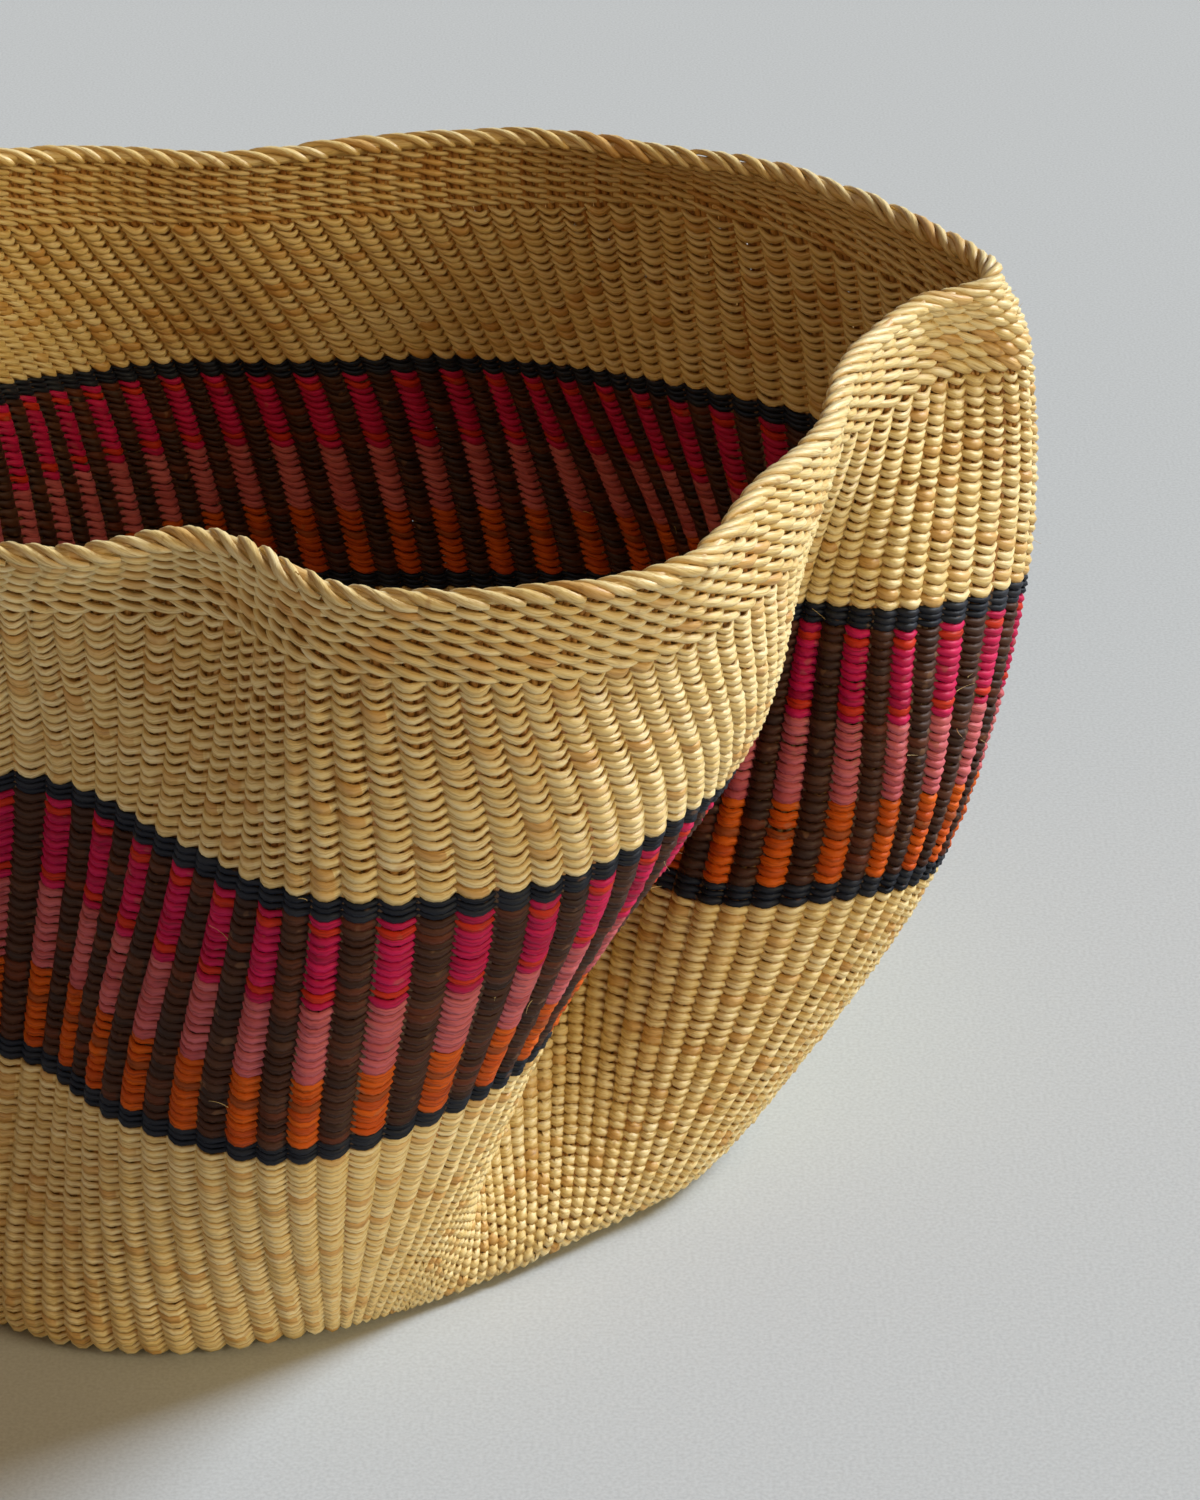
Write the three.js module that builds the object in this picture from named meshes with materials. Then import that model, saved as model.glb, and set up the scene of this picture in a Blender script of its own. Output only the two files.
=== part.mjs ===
// A soft round basket of twined grass, with a dyed band, a collar and a plaited rim.
//
// Millimetres, +Z up. The origin is the middle of the underside, on the floor.
// Seen from above, the stations run anticlockwise, and station 0 is at the front left.
import * as THREE from 'three';

// Driving dimensions
const bellyWidth = 360; // across the widest part of the leaning, dented wall
const standingHeight = 240; // floor to the top of the rim
const wallThickness = 6.4; // through one rib of the weave
const courseGap = 0.3; // between two neighbouring courses
const rimGap = 0.6; // under the plait, wider because both sides of it twist at the corners

// Heights of the courses, measured along a rib
const lowerWallHeight = 70; // turn of the base to the lower navy line
const navyLineHeight = 5.5;
const orangeHeight = 22.5;
const pinkHeight = 22.5;
const magentaHeight = 27.5;
const upperWallHeight = 59;
const collarHeight = 20.5;
const rimHeight = 6.5;

const rimThickness = 9; // the plait, through the wall
const baseThickness = wallThickness;
const baseStartRadius = 24; // the crossing of the stakes

// Facets
const ribPairs = 72; // one facet round the wall for each pair of ribs
const rimSides = 8;
const baseRings = 4;
const lowerWallRows = 8;
const bandRows = 2;
const upperWallRows = 5;
const collarRows = 3;

// The levels of the wall's middle surface, with one place for each station.
// x and y are shares of half the belly's width, and z is a share of the standing height.
const rimShares = [
  [-0.30, -0.80, 0.99], [-0.10, -0.80, 1.01], [0.10, -0.95, 1.00], [0.35, -0.95, 1.00],
  [0.55, -0.85, 1.00], [0.65, -0.60, 1.00], [0.75, -0.40, 1.00], [0.80, -0.15, 1.00],
  [0.90, 0.08, 1.00], [1.03, 0.21, 1.00], [0.95, 0.40, 1.00], [0.75, 0.65, 1.00],
  [0.55, 0.75, 1.00], [0.30, 0.85, 1.00], [0.05, 0.85, 0.99], [-0.20, 0.80, 0.98],
  [-0.45, 0.80, 0.99], [-0.65, 0.70, 1.00], [-0.75, 0.50, 1.00], [-0.80, 0.25, 1.00],
  [-0.80, 0.00, 1.00], [-0.75, -0.25, 0.99], [-0.70, -0.50, 0.98], [-0.55, -0.70, 0.98],
];
const collarShares = [
  [-0.35, -0.70, 0.89], [-0.10, -0.75, 0.90], [0.05, -0.90, 0.90], [0.30, -0.95, 0.90],
  [0.51, -0.81, 0.88], [0.66, -0.60, 0.88], [0.74, -0.32, 0.88], [0.78, -0.10, 0.88],
  [0.95, 0.15, 0.88], [1.10, 0.25, 0.87], [1.00, 0.45, 0.88], [0.80, 0.70, 0.89],
  [0.55, 0.85, 0.90], [0.30, 0.90, 0.89], [0.05, 0.90, 0.88], [-0.20, 0.85, 0.88],
  [-0.45, 0.85, 0.88], [-0.65, 0.75, 0.89], [-0.75, 0.50, 0.89], [-0.80, 0.25, 0.89],
  [-0.80, 0.00, 0.89], [-0.80, -0.25, 0.88], [-0.70, -0.50, 0.88], [-0.55, -0.65, 0.88],
];
const upperLineShares = [
  [-0.35, -0.60, 0.64], [-0.15, -0.80, 0.64], [0.05, -0.95, 0.64], [0.35, -0.90, 0.64],
  [0.55, -0.70, 0.65], [0.62, -0.52, 0.65], [0.64, -0.28, 0.65], [0.70, -0.05, 0.65],
  [0.90, -0.05, 0.64], [1.10, 0.20, 0.60], [1.00, 0.45, 0.62], [0.85, 0.70, 0.63],
  [0.60, 0.85, 0.64], [0.40, 0.95, 0.64], [0.20, 1.00, 0.64], [-0.05, 0.95, 0.65],
  [-0.30, 0.98, 0.64], [-0.50, 0.88, 0.65], [-0.62, 0.62, 0.70], [-0.75, 0.35, 0.68],
  [-0.85, 0.10, 0.66], [-0.90, -0.20, 0.64], [-0.85, -0.45, 0.64], [-0.65, -0.55, 0.64],
];
const lowerLineShares = [
  [-0.41, -0.63, 0.32], [-0.25, -0.80, 0.32], [0.00, -0.90, 0.32], [0.25, -0.75, 0.33],
  [0.35, -0.55, 0.34], [0.25, -0.30, 0.36], [0.40, -0.05, 0.35], [0.60, -0.20, 0.34],
  [0.85, -0.15, 0.33], [0.97, 0.00, 0.31], [0.97, 0.26, 0.31], [0.85, 0.50, 0.32],
  [0.70, 0.75, 0.33], [0.55, 0.95, 0.33], [0.30, 0.95, 0.34], [0.05, 0.95, 0.34],
  [-0.20, 0.95, 0.34], [-0.40, 0.80, 0.34], [-0.55, 0.60, 0.34], [-0.70, 0.35, 0.34],
  [-0.80, 0.10, 0.33], [-0.90, -0.15, 0.33], [-0.85, -0.40, 0.32], [-0.65, -0.55, 0.32],
];
const heelShares = [
  [-0.45, -0.75, 0.04], [-0.24, -0.82, 0.04], [0.00, -0.78, 0.04], [0.11, -0.73, 0.04],
  [0.18, -0.68, 0.04], [0.26, -0.61, 0.04], [0.35, -0.54, 0.05], [0.47, -0.46, 0.05],
  [0.60, -0.35, 0.05], [0.70, -0.16, 0.06], [0.70, 0.10, 0.06], [0.70, 0.35, 0.06],
  [0.65, 0.60, 0.06], [0.55, 0.80, 0.06], [0.35, 0.85, 0.06], [0.10, 0.85, 0.06],
  [-0.10, 0.80, 0.06], [-0.35, 0.70, 0.06], [-0.50, 0.55, 0.05], [-0.60, 0.30, 0.05],
  [-0.70, 0.10, 0.05], [-0.75, -0.15, 0.04], [-0.70, -0.40, 0.04], [-0.60, -0.60, 0.04],
];

// Two flat rings on the floor, as shares of the heel's distance from the middle
const footShare = 0.88;
const floorShare = 0.72;
const wallStartShare = 0.5; // of the way from the floor ring to the foot ring

// The middle surface of the wall
function cubic(before, from, to, after, share) {
  const slopeFrom = (to - before) / 2;
  const slopeTo = (after - from) / 2;
  const bend = 2 * (from - to) + slopeFrom + slopeTo;
  const rise = 3 * (to - from) - 2 * slopeFrom - slopeTo;
  return ((bend * share + rise) * share + slopeFrom) * share + from;
}

/** A point on a smooth curve through four points, between the second and the third. */
function between(points, share) {
  return points[0].map((_, axis) => cubic(...points.map((point) => point[axis]), share));
}

/** The place on one level's closed curve, at a share of the way round. */
function placeOnLevel(level, turn) {
  const count = level.length;
  const along = (turn - Math.floor(turn)) * count;
  const station = Math.floor(along);
  const near = [-1, 0, 1, 2].map((step) => level[(station + step + count) % count]);
  return between(near, along - station);
}

function toRealSize([x, y, z]) {
  return [x * bellyWidth / 2, y * bellyWidth / 2, z * standingHeight];
}

function ringOnFloor(share) {
  return heelShares.map(([x, y]) => [x * share, y * share, wallThickness / 2 / standingHeight]);
}

const levels = [
  ringOnFloor(floorShare), ringOnFloor(footShare), heelShares,
  lowerLineShares, upperLineShares, collarShares, rimShares,
].map((level) => level.map(toRealSize));
const [, , , lowerLevel, upperLevel, collarLevel, rimLevel] = levels.keys();

/** Where a rib crosses a level. Past the first and the last level it goes straight on. */
function crossing(turn, level) {
  const inside = Math.min(Math.max(level, 0), levels.length - 1);
  const place = placeOnLevel(levels[inside], turn);
  if (inside === level) return place;
  const mirrored = placeOnLevel(levels[2 * inside - level], turn);
  return place.map((value, axis) => 2 * value - mirrored[axis]);
}

/** The middle of the wall, at a share of the way round and a height counted in levels. */
function middle(turn, height) {
  const level = Math.min(Math.floor(height), levels.length - 2);
  const near = [-1, 0, 1, 2].map((step) => crossing(turn, level + step));
  const [x, y, z] = between(near, height - level);
  return new THREE.Vector3(x, y, Math.max(z, wallThickness / 2));
}

const probeShare = 0.001; // of a turn or a level, for slopes

function upFrom(turn, height) {
  const low = Math.max(height - probeShare, 0);
  const high = Math.min(height + probeShare, levels.length - 1);
  return middle(turn, high).sub(middle(turn, low)).divideScalar(high - low);
}

/** The middle of the wall there, with its outward normal and its upward direction. */
function wallFrame(turn, height) {
  const round = middle(turn + probeShare, height).sub(middle(turn - probeShare, height));
  const up = upFrom(turn, height).normalize();
  return { at: middle(turn, height), out: round.cross(up).normalize(), up };
}

// Solids from rings of points
function ringOf(place) {
  return Array.from({ length: ribPairs }, (_, step) => place(step / ribPairs));
}

/** A closed solid from rings, each joined to the next and the last one to the first. */
function ringsToGeometry(rings) {
  const around = rings[0].length;
  const index = [];
  rings.forEach((_, ring) => {
    const next = (ring + 1) % rings.length;
    for (let step = 0; step < around; step += 1) {
      const side = (step + 1) % around;
      const [a, b] = [ring * around + step, ring * around + side];
      const [c, d] = [next * around + step, next * around + side];
      // The closing strip takes the other diagonal, as the strip that faces it does.
      index.push(...(next === 0 ? [a, b, c, b, d, c] : [a, b, d, a, d, c]));
    }
  });
  const positions = rings.flat().flatMap((point) => point.toArray());
  const geometry = new THREE.BufferGeometry();
  geometry.setAttribute('position', new THREE.Float32BufferAttribute(positions, 3));
  geometry.setIndex(index);
  geometry.computeVertexNormals();
  return geometry;
}

/** The height reached by going a real distance up a rib, or down it where that is negative. */
function stepAlong(turn, height, distance) {
  return height + distance / upFrom(turn, height).length();
}

/** One course of the wall between two heights, each less half a gap. */
function courseGeometry(from, to, rows) {
  const face = (row, side) => ringOf((turn) => {
    const low = stepAlong(turn, from, courseGap / 2);
    const high = stepAlong(turn, to, -courseGap / 2);
    const { at, out } = wallFrame(turn, low + (high - low) * row / rows);
    return at.addScaledVector(out, side * wallThickness / 2);
  });
  const rowNumbers = Array.from({ length: rows + 1 }, (_, row) => row);
  const outer = rowNumbers.map((row) => face(row, 1));
  const inner = rowNumbers.reverse().map((row) => face(row, -1));
  return ringsToGeometry([...outer, ...inner]);
}

/** The plait: a tube of rounded section along the top of the collar. */
function rimGeometry() {
  const angles = Array.from({ length: rimSides }, (_, side) => 2 * Math.PI * side / rimSides);
  return ringsToGeometry(angles.map((angle) => ringOf((turn) => {
    const { at, out, up } = wallFrame(turn, rimFoot);
    at.addScaledVector(up, rimGap - courseGap / 2 + rimHeight / 2 * (1 + Math.sin(angle)));
    return at.addScaledVector(out, Math.cos(angle) * rimThickness / 2);
  })));
}

/** The flat base, from the crossing of the stakes to the start of the wall. */
function baseGeometry() {
  const place = (turn, ring, z) => {
    const edge = middle(turn, wallStartShare).setZ(0);
    const near = baseStartRadius + courseGap;
    const far = edge.length() - courseGap / 2;
    return edge.setLength(near + (far - near) * ring / baseRings).setZ(z);
  };
  const ringNumbers = Array.from({ length: baseRings + 1 }, (_, ring) => ring);
  const under = ringNumbers.map((ring) => ringOf((turn) => place(turn, ring, 0)));
  const top = ringNumbers.reverse()
    .map((ring) => ringOf((turn) => place(turn, ring, baseThickness)));
  return ringsToGeometry([...under, ...top]);
}

function baseStartGeometry() {
  const disc = new THREE.CylinderGeometry(
    baseStartRadius, baseStartRadius, baseThickness, ribPairs,
  );
  disc.rotateX(Math.PI / 2);
  disc.translate(0, 0, baseThickness / 2);
  return disc;
}

// Borders between the courses, counted in levels
const bandHeight = navyLineHeight + orangeHeight + pinkHeight + magentaHeight;
const inLowerWall = (length) => length / (lowerWallHeight + navyLineHeight / 2);
const inBand = (length) => length / bandHeight;
const inUpperWall = (length) => length / (upperWallHeight + navyLineHeight / 2);
const inCollar = (length) => length / (collarHeight + rimHeight);

const lowerNavyFoot = lowerLevel - inLowerWall(navyLineHeight / 2);
const orangeFoot = lowerLevel + inBand(navyLineHeight / 2);
const pinkFoot = orangeFoot + inBand(orangeHeight);
const magentaFoot = pinkFoot + inBand(pinkHeight);
const upperNavyFoot = magentaFoot + inBand(magentaHeight);
const upperWallFoot = upperLevel + inUpperWall(navyLineHeight / 2);
const rimFoot = rimLevel - inCollar(rimHeight);

// Colours
function grass(color, roughness) {
  return new THREE.MeshStandardMaterial({ color, roughness, metalness: 0 });
}

const straw = grass('#d9bd84', 0.6);
const rimStraw = grass('#c9a568', 0.6);
const baseStraw = grass('#cdae76', 0.65);
const navy = grass('#1d2433', 0.6);
const orange = grass('#c0501c', 0.6);
const pink = grass('#c0606c', 0.6);
const magenta = grass('#b8194f', 0.6);

// The basket
const basket = new THREE.Group();

function add(name, geometry, material) {
  const mesh = new THREE.Mesh(geometry, material);
  mesh.name = name;
  basket.add(mesh);
}

add('base_start', baseStartGeometry(), baseStraw);
add('base_disc', baseGeometry(), baseStraw);
add('lower_wall', courseGeometry(wallStartShare, lowerNavyFoot, lowerWallRows), straw);
add('lower_navy_line', courseGeometry(lowerNavyFoot, orangeFoot, 1), navy);
add('orange_course', courseGeometry(orangeFoot, pinkFoot, bandRows), orange);
add('pink_course', courseGeometry(pinkFoot, magentaFoot, bandRows), pink);
add('magenta_course', courseGeometry(magentaFoot, upperNavyFoot, bandRows), magenta);
add('upper_navy_line', courseGeometry(upperNavyFoot, upperWallFoot, 1), navy);
add('upper_wall', courseGeometry(upperWallFoot, collarLevel, upperWallRows), straw);
add('collar', courseGeometry(collarLevel, rimFoot, collarRows), straw);
add('rim_braid', rimGeometry(), rimStraw);

export default basket;
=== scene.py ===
"""A soft round basket of twined grass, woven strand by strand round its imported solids.

Metres, +Z up. The wall's middle surface repeats the places of the part's source, so every
woven course lies where its solid lies. Stations run anticlockwise seen from above, and
station 0 is at the front left. Heights on the wall are counted in levels, from the floor
ring (0) to the rim (6).
"""
import math

import bpy
import numpy as np
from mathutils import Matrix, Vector


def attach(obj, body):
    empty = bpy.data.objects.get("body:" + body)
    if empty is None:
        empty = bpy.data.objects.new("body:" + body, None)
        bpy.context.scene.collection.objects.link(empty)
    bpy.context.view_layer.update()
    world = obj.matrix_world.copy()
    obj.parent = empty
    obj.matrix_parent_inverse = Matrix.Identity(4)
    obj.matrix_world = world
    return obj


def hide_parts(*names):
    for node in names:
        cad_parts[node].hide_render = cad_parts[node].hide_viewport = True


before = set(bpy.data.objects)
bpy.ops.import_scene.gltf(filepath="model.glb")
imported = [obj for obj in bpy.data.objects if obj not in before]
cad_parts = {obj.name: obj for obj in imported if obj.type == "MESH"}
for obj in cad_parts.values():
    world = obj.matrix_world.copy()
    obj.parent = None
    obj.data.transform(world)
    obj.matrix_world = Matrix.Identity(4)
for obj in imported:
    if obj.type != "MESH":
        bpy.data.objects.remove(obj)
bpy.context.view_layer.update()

MM = 0.001

# Driving sizes, as in the part's source
BELLY_WIDTH = 360 * MM
STANDING_HEIGHT = 240 * MM
WALL_THICKNESS = 6.4 * MM
COURSE_GAP = 0.3 * MM
RIM_GAP = 0.6 * MM
LOWER_WALL_HEIGHT = 70 * MM
NAVY_LINE_HEIGHT = 5.5 * MM
ORANGE_HEIGHT = 22.5 * MM
PINK_HEIGHT = 22.5 * MM
MAGENTA_HEIGHT = 27.5 * MM
UPPER_WALL_HEIGHT = 59 * MM
COLLAR_HEIGHT = 20.5 * MM
RIM_HEIGHT = 6.5 * MM
RIM_THICKNESS = 9 * MM
BASE_START_RADIUS = 24 * MM
FOOT_SHARE = 0.88
FLOOR_SHARE = 0.72
WALL_START = 0.5

# Weave
RIBS = 144  # bundles of stakes round the wall
PLAIN_RIB_ROOM = 7.6 * MM  # from one rib to the next where nothing crowds them

# The levels of the wall, with one place for each station, chosen as in the source.
# x and y are shares of half the belly's width, and z is a share of the standing height.
RIM_SHARES = (
    (-0.30, -0.80, 0.99), (-0.10, -0.80, 1.01), (0.10, -0.95, 1.00), (0.35, -0.95, 1.00),
    (0.55, -0.85, 1.00), (0.65, -0.60, 1.00), (0.75, -0.40, 1.00), (0.80, -0.15, 1.00),
    (0.90, 0.08, 1.00), (1.03, 0.21, 1.00), (0.95, 0.40, 1.00), (0.75, 0.65, 1.00),
    (0.55, 0.75, 1.00), (0.30, 0.85, 1.00), (0.05, 0.85, 0.99), (-0.20, 0.80, 0.98),
    (-0.45, 0.80, 0.99), (-0.65, 0.70, 1.00), (-0.75, 0.50, 1.00), (-0.80, 0.25, 1.00),
    (-0.80, 0.00, 1.00), (-0.75, -0.25, 0.99), (-0.70, -0.50, 0.98), (-0.55, -0.70, 0.98),
)
COLLAR_SHARES = (
    (-0.35, -0.70, 0.89), (-0.10, -0.75, 0.90), (0.05, -0.90, 0.90), (0.30, -0.95, 0.90),
    (0.51, -0.81, 0.88), (0.66, -0.60, 0.88), (0.74, -0.32, 0.88), (0.78, -0.10, 0.88),
    (0.95, 0.15, 0.88), (1.10, 0.25, 0.87), (1.00, 0.45, 0.88), (0.80, 0.70, 0.89),
    (0.55, 0.85, 0.90), (0.30, 0.90, 0.89), (0.05, 0.90, 0.88), (-0.20, 0.85, 0.88),
    (-0.45, 0.85, 0.88), (-0.65, 0.75, 0.89), (-0.75, 0.50, 0.89), (-0.80, 0.25, 0.89),
    (-0.80, 0.00, 0.89), (-0.80, -0.25, 0.88), (-0.70, -0.50, 0.88), (-0.55, -0.65, 0.88),
)
UPPER_LINE_SHARES = (
    (-0.35, -0.60, 0.64), (-0.15, -0.80, 0.64), (0.05, -0.95, 0.64), (0.35, -0.90, 0.64),
    (0.55, -0.70, 0.65), (0.62, -0.52, 0.65), (0.64, -0.28, 0.65), (0.70, -0.05, 0.65),
    (0.90, -0.05, 0.64), (1.10, 0.20, 0.60), (1.00, 0.45, 0.62), (0.85, 0.70, 0.63),
    (0.60, 0.85, 0.64), (0.40, 0.95, 0.64), (0.20, 1.00, 0.64), (-0.05, 0.95, 0.65),
    (-0.30, 0.98, 0.64), (-0.50, 0.88, 0.65), (-0.62, 0.62, 0.70), (-0.75, 0.35, 0.68),
    (-0.85, 0.10, 0.66), (-0.90, -0.20, 0.64), (-0.85, -0.45, 0.64), (-0.65, -0.55, 0.64),
)
LOWER_LINE_SHARES = (
    (-0.41, -0.63, 0.32), (-0.25, -0.80, 0.32), (0.00, -0.90, 0.32), (0.25, -0.75, 0.33),
    (0.35, -0.55, 0.34), (0.25, -0.30, 0.36), (0.40, -0.05, 0.35), (0.60, -0.20, 0.34),
    (0.85, -0.15, 0.33), (0.97, 0.00, 0.31), (0.97, 0.26, 0.31), (0.85, 0.50, 0.32),
    (0.70, 0.75, 0.33), (0.55, 0.95, 0.33), (0.30, 0.95, 0.34), (0.05, 0.95, 0.34),
    (-0.20, 0.95, 0.34), (-0.40, 0.80, 0.34), (-0.55, 0.60, 0.34), (-0.70, 0.35, 0.34),
    (-0.80, 0.10, 0.33), (-0.90, -0.15, 0.33), (-0.85, -0.40, 0.32), (-0.65, -0.55, 0.32),
)
HEEL_SHARES = (
    (-0.45, -0.75, 0.04), (-0.24, -0.82, 0.04), (0.00, -0.78, 0.04), (0.11, -0.73, 0.04),
    (0.18, -0.68, 0.04), (0.26, -0.61, 0.04), (0.35, -0.54, 0.05), (0.47, -0.46, 0.05),
    (0.60, -0.35, 0.05), (0.70, -0.16, 0.06), (0.70, 0.10, 0.06), (0.70, 0.35, 0.06),
    (0.65, 0.60, 0.06), (0.55, 0.80, 0.06), (0.35, 0.85, 0.06), (0.10, 0.85, 0.06),
    (-0.10, 0.80, 0.06), (-0.35, 0.70, 0.06), (-0.50, 0.55, 0.05), (-0.60, 0.30, 0.05),
    (-0.70, 0.10, 0.05), (-0.75, -0.15, 0.04), (-0.70, -0.40, 0.04), (-0.60, -0.60, 0.04),
)


# Camera and light
CAMERA_PLACE = (0.077, -1.080, 0.670)
CAMERA_DIP = 27.5  # degrees below level
LENS_LENGTH = 85  # millimetres, for a picture PICTURE_WIDTH wide
PICTURE_WIDTH = 30
NEAREST_SEEN = 50 * MM

# Each lamp's name, the place from which it shines, how many degrees wide it looks, its
# strength and its colour
LAMPS = (
    ("back_window", (1.2, 0.7, 0.95), 20, 3.8, (0.92, 0.97, 1.0)),
    ("side_window", (1.2, -0.6, 0.46), 24, 1.3, (1.0, 0.8, 0.45)),
    ("open_door", (-0.3, -1.2, 0.5), 50, 0.25, (1.0, 0.6, 0.26)),
)
# Colour and strength of what lights the basket all round, and of what is seen behind it
ROOM = ((1.0, 0.63, 0.32, 1), 0.17)
BACKDROP = ((0.53, 0.56, 0.58, 1), 1.0)


def add_camera():
    """The place and the angle from which the photograph was taken."""
    lens = bpy.data.cameras.new("camera")
    lens.sensor_width = PICTURE_WIDTH
    lens.lens = LENS_LENGTH
    lens.clip_start = NEAREST_SEEN
    camera = bpy.data.objects.new("camera", lens)
    camera.location = CAMERA_PLACE
    camera.rotation_euler = (math.radians(90 - CAMERA_DIP), 0, 0)
    bpy.context.scene.collection.objects.link(camera)
    bpy.context.scene.camera = camera


def add_lamp(name, place, spread, strength, colour):
    """Daylight from one side, even over the whole floor. The spread makes it soft."""
    light = bpy.data.lights.new(name, "SUN")
    light.angle = math.radians(spread)
    light.energy = strength
    light.color = colour
    lamp = bpy.data.objects.new(name, light)
    lamp.location = place
    lamp.rotation_euler = Vector(place).to_track_quat("Z", "Y").to_euler()
    bpy.context.scene.collection.objects.link(lamp)


def light_the_scene():
    """The lamps, and a room that lights the basket with one colour and is seen in another."""
    for lamp in LAMPS:
        add_lamp(*lamp)
    world = bpy.data.worlds.new("room")
    bpy.context.scene.world = world
    world.use_nodes = True
    nodes = world.node_tree.nodes
    links = world.node_tree.links
    nodes.clear()
    path = nodes.new("ShaderNodeLightPath")
    seen = path.outputs["Is Camera Ray"]
    for ray in ("Is Glossy Ray", "Is Transmission Ray"):
        either = nodes.new("ShaderNodeMath")
        either.operation = "MAXIMUM"
        links.new(seen, either.inputs[0])
        links.new(path.outputs[ray], either.inputs[1])
        seen = either.outputs[0]
    mixed = nodes.new("ShaderNodeMixShader")
    links.new(seen, mixed.inputs[0])
    for socket, (colour, strength) in ((1, ROOM), (2, BACKDROP)):
        light = nodes.new("ShaderNodeBackground")
        light.inputs["Color"].default_value = colour
        light.inputs["Strength"].default_value = strength
        links.new(light.outputs[0], mixed.inputs[socket])
    out = nodes.new("ShaderNodeOutputWorld")
    links.new(mixed.outputs[0], out.inputs[0])


# Colours and materials
FIBRE_GRAIN = (0.16, 2.6, 2.6)  # how fine the lines are along a strand, and across it
BLOTCH_GRAIN = (0.28, 0.3, 0.3)  # the same for the soft blotches

# Undyed grass
STRAW_ROUGHNESS = 0.44
DULL_ROUGHNESS = 0.6  # of the base and the stakes
STRAW_GLOSS = 0.5
STRAW_RELIEF = (0.55, 0.25 * MM)  # strength and depth of the fibres
STRAW_STREAKS = ((0.30, "b0955c"), (0.46, "f2e8c8"), (0.60, "ffffff"))
STRAW_STREAK_SHARE = 0.7
STAIN = "a06a34"
STAIN_GAIN = 3.0
STAIN_OFFSET = -1.95
STAIN_SOFTNESS = 0.05
MOST_STAIN = 0.4
# Painted shade: a strand's two edges, in the creases against the next rows, are mixed toward
# this golden brown
PAINTED_CREVICE_SHADE = "b88434"
PAINTED_CREVICE_SHADE_SHARE = 0.55
# Stakes are mixed toward this dark brown between the levels of the dyed band
STAKE_BAND_TONE = "2a1a14"
STAKE_BAND_TONE_SHARE = 0.85

# Dyed grass
DYED_ROUGHNESS = 0.5
DYED_GLOSS = 0.16
DYED_RELIEF = (0.5, 0.2 * MM)
DYED_STREAKS = ((0.30, "9c8f8c"), (0.50, "ffffff"), (0.75, "ffffff"))
DYED_STREAK_SHARE = 0.8
WORN = "a07a5c"
WORN_GAIN = 4.0
WORN_OFFSET = -2.7
MOST_WORN = 0.25


def shade(code):
    """A colour code of six hexadecimal digits, as the linear values that shaders take."""
    parts = [int(code[i:i + 2], 16) / 255 for i in (0, 2, 4)]
    return tuple(((c + 0.055) / 1.055) ** 2.4 if c > 0.04045 else c / 12.92
                 for c in parts) + (1.0,)


class Finish:
    """A material, with calls that add a node, feed it and give its result."""

    def __init__(self, name, roughness, gloss):
        self.material = bpy.data.materials.new(name)
        self.material.use_nodes = True
        self.nodes = self.material.node_tree.nodes
        self.links = self.material.node_tree.links
        self.surface = self.nodes["Principled BSDF"]
        self.surface.inputs["Roughness"].default_value = roughness
        self.surface.inputs["Specular IOR Level"].default_value = gloss

    def add(self, kind, fed, out=0, **settings):
        node = self.nodes.new(kind)
        for key, value in settings.items():
            setattr(node, key, value)
        for socket, value in fed.items():
            if isinstance(value, bpy.types.NodeSocket):
                self.links.new(value, node.inputs[socket])
            else:
                node.inputs[socket].default_value = value
        return node.outputs[out]

    def attribute(self, name):
        node = self.nodes.new("ShaderNodeAttribute")
        node.attribute_name = name
        return node.outputs["Vector"]

    def parts(self, vector):
        node = self.nodes.new("ShaderNodeSeparateXYZ")
        self.links.new(vector, node.inputs[0])
        return node.outputs

    def maths(self, operation, *values):
        return self.add("ShaderNodeMath", dict(enumerate(values)), operation=operation)

    def mixed(self, share, first, second, blend="MIX"):
        # A mix node has its two colours in sockets 6 and 7, and gives a colour in socket 2.
        return self.add("ShaderNodeMix", {0: share, 6: first, 7: second}, out=2,
                        data_type="RGBA", blend_type=blend)

    def ramp(self, value, stops):
        node = self.nodes.new("ShaderNodeValToRGB")
        self.links.new(value, node.inputs[0])
        elements = node.color_ramp.elements
        while len(elements) < len(stops):
            elements.new(1.0)
        for element, (place, code) in zip(elements, stops):
            element.position = place
            element.color = shade(code)
        return node.outputs[0]

    def colour(self, socket):
        self.links.new(socket, self.surface.inputs["Base Color"])


def add_fibres(finish, strength, depth):
    """Fine ridges that run along each strand, in its colour and in its relief."""
    fibre = finish.attribute("fibre")
    stretched = finish.add("ShaderNodeMapping", {"Vector": fibre, "Scale": FIBRE_GRAIN})
    lines = finish.add("ShaderNodeTexNoise", {"Vector": stretched, "Scale": 1.0,
                                              "Detail": 3.0, "Roughness": 0.62})
    blotched = finish.add("ShaderNodeMapping", {"Vector": fibre, "Scale": BLOTCH_GRAIN})
    blotches = finish.add("ShaderNodeTexNoise", {"Vector": blotched, "Scale": 1.0,
                                                 "Detail": 1.0})
    relief = finish.add("ShaderNodeBump", {"Strength": strength, "Distance": depth,
                                           "Height": lines})
    finish.links.new(relief, finish.surface.inputs["Normal"])
    return fibre, lines, blotches


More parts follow.
